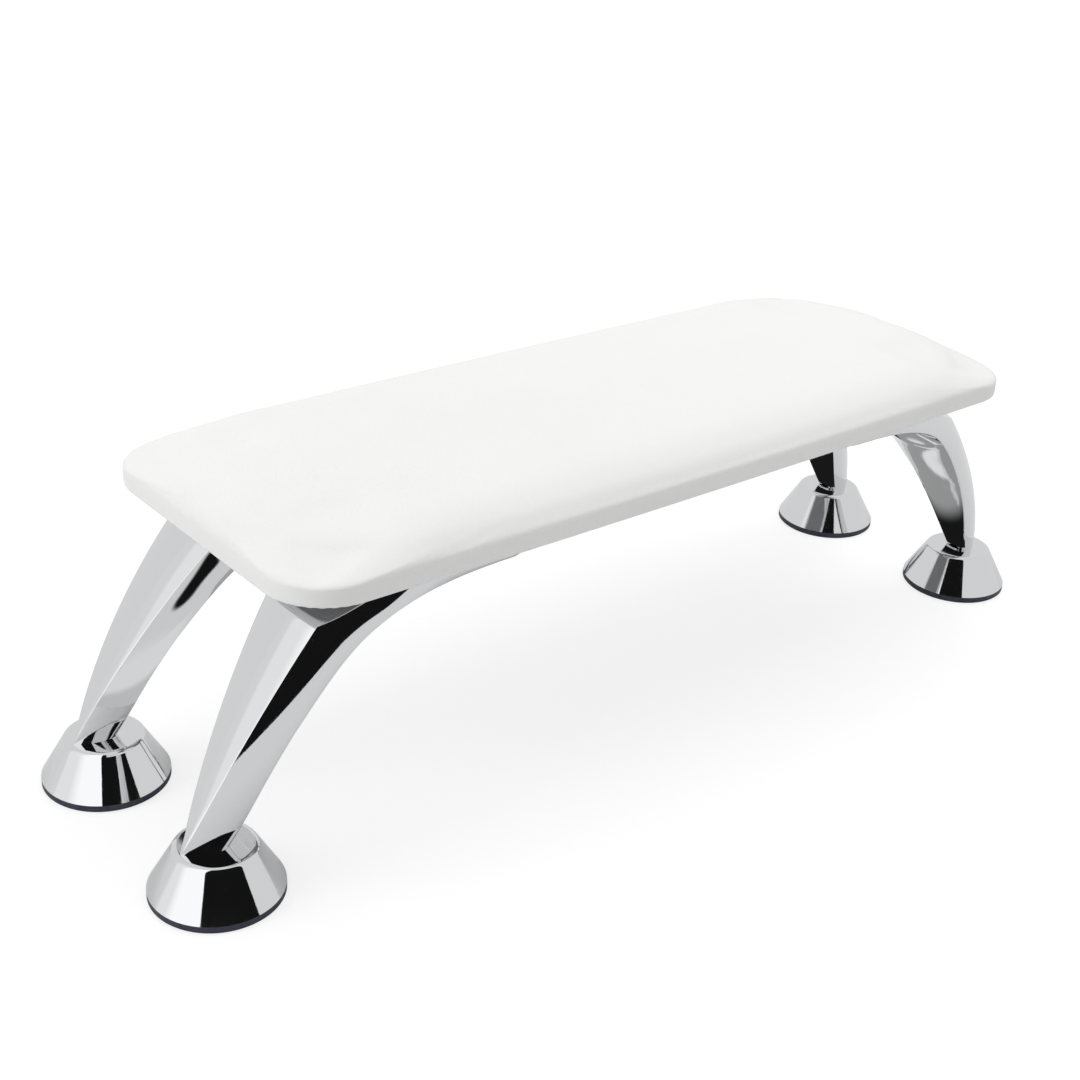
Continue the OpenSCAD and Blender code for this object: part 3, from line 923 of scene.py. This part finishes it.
# Leg screws
# Twelve zinc-plated cap screws with hexagon sockets, three through each leg's head, from below.
finish(["leg_screws"], zinc_plate)


# Cups
# Four turned cups of the same chromed finish as the legs, each hollow below.
finish(["cup_" + corner for corner in corners], chrome)


# Foot washers and foot screws
# Inside each cup a screw with a washer pulls it up against the leg.
finish(["foot_washers", "foot_screws"], zinc_plate)


# Rubber discs
# A dark blue-black rubber disc is plugged into each cup, so that the table isn't scratched.
RUBBER = (0.020, 0.020, 0.045, 1)
RUBBER_DUST = (0.060, 0.060, 0.085, 1)
RUBBER_DEPTH = 0.00005


def moulded_rubber():
    """Dark rubber with a fine skin, paler where dust clings to it."""
    material, tree, shader = new_material("moulded_rubber", 0.55)
    spot = object_place(tree)
    patches = place(tree, "ShaderNodeGroup", {"Vector": spot, "Size": 160.0}, node_tree=SMUDGES)
    tint(tree, shader, patches.outputs["Mask"], RUBBER, RUBBER_DUST)
    vary_roughness(tree, shader, patches.outputs["Mask"], 0.48, 0.7)
    skin = place(tree, "ShaderNodeTexNoise", {"Vector": spot, "Scale": 2500.0, "Detail": 3.0})
    bump(tree, shader, skin.outputs["Fac"], RUBBER_DEPTH)
    return material


finish(["rubber_" + corner for corner in corners], moulded_rubber())


# Studio
# A white table that runs on to the horizon, an even white room, two soft lamps, and screens that
# only reflections see. The dark screen stands upright across the view, from in front of the
# pad's middle to beyond its left end.
TABLE_SIZE = 12.0
TABLE_COLOUR = (0.82, 0.82, 0.82, 1)
# Brightness of the table's white to the camera, and in reflections, where it is the room's too
TABLE_WHITE = 1.25
ROOM_REFLECTED = 0.80
# Share of that white close to the object, to the camera and in reflections
TABLE_SHARE = 0.60
TABLE_REFLECTED = 0.15
# Distances from the middle between which the table turns fully white
SHADOW_NEAR = 0.25
SHADOW_FAR = 0.60
ROOM_LEVEL = 0.48
# Share of its reach over which a screen's patch fades out, half of it inside the reach
PATCH_FADE = 0.5


def flat_piece(name, corners):
    """A flat piece of the studio with four corners."""
    data = bpy.data.meshes.new(name)
    data.from_pydata(corners, [], [(0, 1, 2, 3)])
    piece = put_in_scene(name, data)
    return piece


def seen_directly(tree):
    """1 for rays from the camera or through glass, and 0 for the rest."""
    path = tree.nodes.new("ShaderNodeLightPath")
    return place(tree, "ShaderNodeMath", {
        0: path.outputs["Is Camera Ray"], 1: path.outputs["Is Transmission Ray"]},
        operation="MAXIMUM").outputs[0]


def one_sided(tree, front):
    """Shows a shader on the front of a surface, and nothing at all on its back."""
    side = place(tree, "ShaderNodeNewGeometry")
    clear = place(tree, "ShaderNodeBsdfTransparent")
    either = place(tree, "ShaderNodeMixShader", {
        0: side.outputs["Backfacing"], 1: front.outputs[0], 2: clear.outputs[0]})
    tree.links.new(either.outputs[0], tree.nodes["Material Output"].inputs["Surface"])


def table_material():
    """White, with a soft shadow near the object, and not there at all from below."""
    material, tree, shader = new_material("white_table", 0.9)
    shader.inputs["Base Color"].default_value = TABLE_COLOUR
    shader.inputs["Specular IOR Level"].default_value = 0.0
    path = tree.nodes.new("ShaderNodeLightPath")
    seen = seen_directly(tree)
    away = place(tree, "ShaderNodeVectorMath", {0: object_place(tree)}, operation="LENGTH")
    far = place(tree, "ShaderNodeMapRange", {
        "Value": away.outputs["Value"], "From Min": SHADOW_NEAR, "From Max": SHADOW_FAR})
    reflected = place(tree, "ShaderNodeMapRange", {
        "Value": far.outputs[0], "To Min": TABLE_REFLECTED, "To Max": 1.0})
    mirrored = place(tree, "ShaderNodeMath", {
        0: path.outputs["Is Glossy Ray"], 1: reflected.outputs[0]}, operation="MULTIPLY")
    direct = place(tree, "ShaderNodeMapRange", {
        "Value": far.outputs[0], "To Min": TABLE_SHARE, "To Max": 1.0})
    share = place(tree, "ShaderNodeMapRange", {
        "Value": seen, "To Min": mirrored.outputs[0], "To Max": direct.outputs[0]})
    strength = place(tree, "ShaderNodeMapRange", {
        "Value": seen, "To Min": ROOM_REFLECTED, "To Max": TABLE_WHITE})
    white = place(tree, "ShaderNodeEmission", {"Strength": strength.outputs[0]})
    both = place(tree, "ShaderNodeMixShader", {
        0: share.outputs[0], 1: shader.outputs[0], 2: white.outputs[0]})
    one_sided(tree, both)
    return material


half = TABLE_SIZE / 2
table = flat_piece("table", [
    (-half, -half, 0), (half, -half, 0), (half, half, 0), (-half, half, 0)])
table.data.materials.append(table_material())


def brightness(spot, level, patches):
    """Level of a screen at one spot, with soft patches that each lie along a line.

    A patch is given by the line's start and end, its reach round the line and its level.
    """
    for start, end, reach, patch_level in patches:
        start, end = Vector(start), Vector(end)
        along = max(0, min(1, (spot - start).dot(end - start) / (end - start).length_squared))
        away = (spot - start.lerp(end, along)).length / reach
        share = max(0, min(1, (1 + PATCH_FADE / 2 - away) / PATCH_FADE))
        level += (patch_level - level) * share * share * (3 - 2 * share)
    return level


def screen(name, corner, across, up, cell, level, patches=()):
    """A screen that only reflections see, and only from its front.

    It has a corner, two sides, the size of its cells, its level and patches of other levels.
    """
    corner, across, up = Vector(corner), Vector(across), Vector(up)
    columns = max(1, round(across.length / cell))
    rows = max(1, round(up.length / cell))
    points, levels, faces = [], [], []
    for j in range(rows + 1):
        for i in range(columns + 1):
            points.append(corner + across * i / columns + up * j / rows)
            levels.append(brightness(points[-1], level, patches))
    for j in range(rows):
        for i in range(columns):
            first = j * (columns + 1) + i
            faces.append((first, first + 1, first + columns + 2, first + columns + 1))
    data = bpy.data.meshes.new(name)
    data.from_pydata(points, [], faces)
    data.attributes.new("level", "FLOAT", "POINT").data.foreach_set("value", levels)
    material = bpy.data.materials.new(name)
    material.use_nodes = True
    tree = material.node_tree
    painted = place(tree, "ShaderNodeAttribute", attribute_name="level")
    one_sided(tree, place(tree, "ShaderNodeEmission", {"Strength": painted.outputs["Fac"]}))
    data.materials.append(material)
    piece = put_in_scene(name, data)
    piece.visible_camera = False
    piece.visible_diffuse = False
    piece.visible_shadow = False


screen("dark_screen", (0.025, -0.401, 0.040), (-0.360, 0.266, 0), (0, 0, 0.50), 1.0, 0.008)
screen("white_screen", (-0.335, -0.135, 0), (-0.905, 1.2025, 0), (0, 0, 0.60), 0.05, 0.82,
       [((-0.52, 0.11, 0), (-0.52, 0.11, 0.60), 0.32, 0.96),
        ((-0.335, -0.135, 0), (-0.335, -0.135, 0.60), 0.20, 1.24)])
# Painted reflections: these two screens stand under the pad between the left legs, where nothing
# stands, and paint pale sheets with dark spots into the left legs' chrome.
screen("painted_reflection_between_left_legs", (-0.145, 0, 0.034), (-0.080, 0, 0), (0, 0, 0.078), 0.0015, 0.74,
       [((-0.225, 0, 0.0), (-0.205, 0, 0.0), 0.040, 0.84),
        ((-0.188, 0, 0.067), (-0.182, 0, 0.090), 0.0085, 0.008),
        ((-0.188, 0, 0.067), (-0.176, 0, 0.083), 0.0045, 0.008)])
screen("painted_reflection_below_left_legs", (-0.225, 0, 0.034), (0.080, 0, 0), (0, 0.033, 0), 0.0015, 0.74,
       [((-0.225, 0, 0.034), (-0.205, 0, 0.034), 0.040, 0.84),
        ((-0.225, 0.034, 0.034), (-0.145, 0.034, 0.034), 0.011, 0.62)])
# Painted shade and reflections: this screen stands under the pad between the right legs. Its grey
# is a painted copy of the table in the pad's shade as the right legs' chrome shows it, and its
# patches are painted bright streaks and dark spots.
screen("painted_shade_and_reflection_between_right_legs",
       (0.140, -0.052, 0.021), (0.066, 0, 0), (0, 0.118, 0), 0.0015, 0.36,
       [((0.158, -0.020, 0.021), (0.158, 0.000, 0.021), 0.009, 0.85),
        ((0.184, -0.006, 0.021), (0.1785, -0.034, 0.021), 0.0026, 0.88),
        ((0.1785, -0.034, 0.021), (0.184, -0.042, 0.021), 0.0016, 0.70),
        ((0.194, -0.070, 0.021), (0.216, -0.018, 0.021), 0.0165, 0.010),
        ((0.194, 0.030, 0.021), (0.197, 0.060, 0.021), 0.0125, 0.012)])

world = bpy.data.worlds.new("white_room")
world.use_nodes = True
bpy.context.scene.world = world
room = world.node_tree
background = room.nodes["Background"]
background.inputs["Color"].default_value = (1, 1, 1, 1)
room_path = room.nodes.new("ShaderNodeLightPath")
lit = place(room, "ShaderNodeMapRange", {
    "Value": room_path.outputs["Is Glossy Ray"], "To Min": ROOM_LEVEL, "To Max": ROOM_REFLECTED})
level = place(room, "ShaderNodeMapRange", {
    "Value": seen_directly(room), "To Min": lit.outputs[0], "To Max": 1.0})
room.links.new(level.outputs[0], background.inputs["Strength"])


def soft_lamp(name, spot, target, size, watts):
    """A square lamp at a spot, turned to its target, that mirror images don't show."""
    light = bpy.data.lights.new(name, "AREA")
    light.shape = "SQUARE"
    light.size = size
    light.energy = watts
    lamp = put_in_scene(name, light)
    lamp.location = spot
    lamp.rotation_euler = (Vector(target) - Vector(spot)).to_track_quat("-Z", "Y").to_euler()
    lamp.visible_glossy = False


soft_lamp("lamp_at_left", (-2.2, 0.7, 1.3), (0, 0, 0.08), size=1.4, watts=20.0)
soft_lamp("lamp_overhead", (0.55, 0.1, 1.6), (0, 0, 0.08), size=1.4, watts=13.3)


# Camera
# It looks down from the front left, as the photograph does.
CAMERA_AZIMUTH = math.radians(-40.95)
CAMERA_ELEVATION = math.radians(26.42)
CAMERA_ROLL = math.radians(3.28)
CAMERA_DISTANCE = 0.7056
CAMERA_TARGET = Vector((-0.0158, 0.0161, 0.060))
CAMERA_LENS = 54.75

back = Vector((math.sin(CAMERA_AZIMUTH) * math.cos(CAMERA_ELEVATION),
               -math.cos(CAMERA_AZIMUTH) * math.cos(CAMERA_ELEVATION),
               math.sin(CAMERA_ELEVATION)))
right = Vector((math.cos(CAMERA_AZIMUTH), math.sin(CAMERA_AZIMUTH), 0))
rolled_right = Matrix.Rotation(CAMERA_ROLL, 3, back) @ right
axes = Matrix((rolled_right, back.cross(rolled_right), back)).transposed()
lens = bpy.data.cameras.new("camera")
lens.lens = CAMERA_LENS
lens.sensor_width = 36.0
lens.clip_start = 0.01
camera = put_in_scene("camera", lens)
camera.matrix_world = Matrix.Translation(CAMERA_TARGET + CAMERA_DISTANCE * back) @ axes.to_4x4()
bpy.context.scene.camera = camera
bpy.context.scene.view_settings.view_transform = "Standard"
